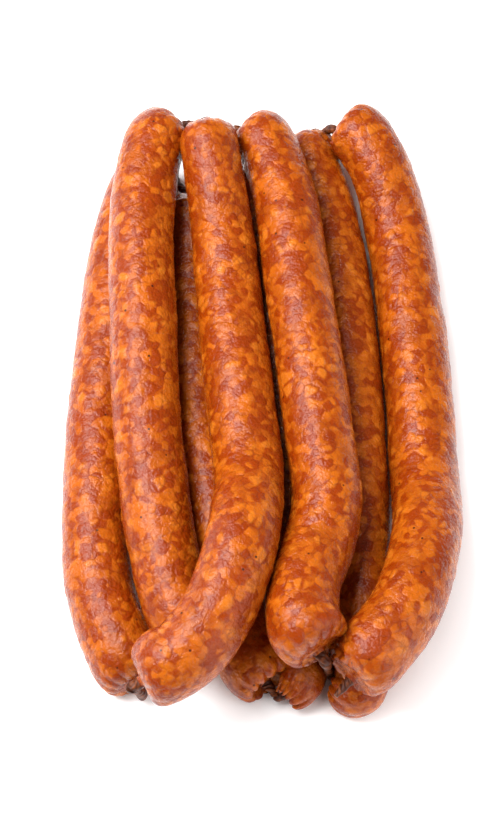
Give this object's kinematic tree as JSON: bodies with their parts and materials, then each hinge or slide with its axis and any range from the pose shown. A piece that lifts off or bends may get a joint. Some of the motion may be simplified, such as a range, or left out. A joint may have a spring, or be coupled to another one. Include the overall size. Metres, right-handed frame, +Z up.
{
  "type": "string of linked cured sausages",
  "caption": "String of smoked, cured sausages folded into a layered hank, its plump links joined end to end by twists of their own natural casing.",
  "frame": {"origin": "centre of the hank's box, on the table", "axes": "+Z up from the table, +Y along the links away from the ends that show most twists, +X across the hank"},
  "size_m": [0.1562, 0.2676, 0.0629],
  "materials": {
    "smoked_casing": "glossy, marbled orange and red-brown",
    "twisted_casing": "dry and satin"
  },
  "bodies": {
    "root": {"link_1_upper_left": "smoked_casing", "link_2_front": "smoked_casing", "link_3_lower_left": "smoked_casing", "link_4_hidden_left": "smoked_casing", "link_5_hidden_right": "smoked_casing", "link_6_upper_middle": "smoked_casing", "link_7_lower_right": "smoked_casing", "link_8_right": "smoked_casing", "casing_twist_1_to_2": "twisted_casing", "casing_twist_2_to_3": "twisted_casing", "casing_twist_3_to_4": "twisted_casing", "casing_twist_4_to_5": "twisted_casing", "casing_twist_5_to_6": "twisted_casing", "casing_twist_6_to_7": "twisted_casing", "casing_twist_7_to_8": "twisted_casing", "casing_end_first": "twisted_casing", "casing_end_last": "twisted_casing"}
  },
  "joints": []
}
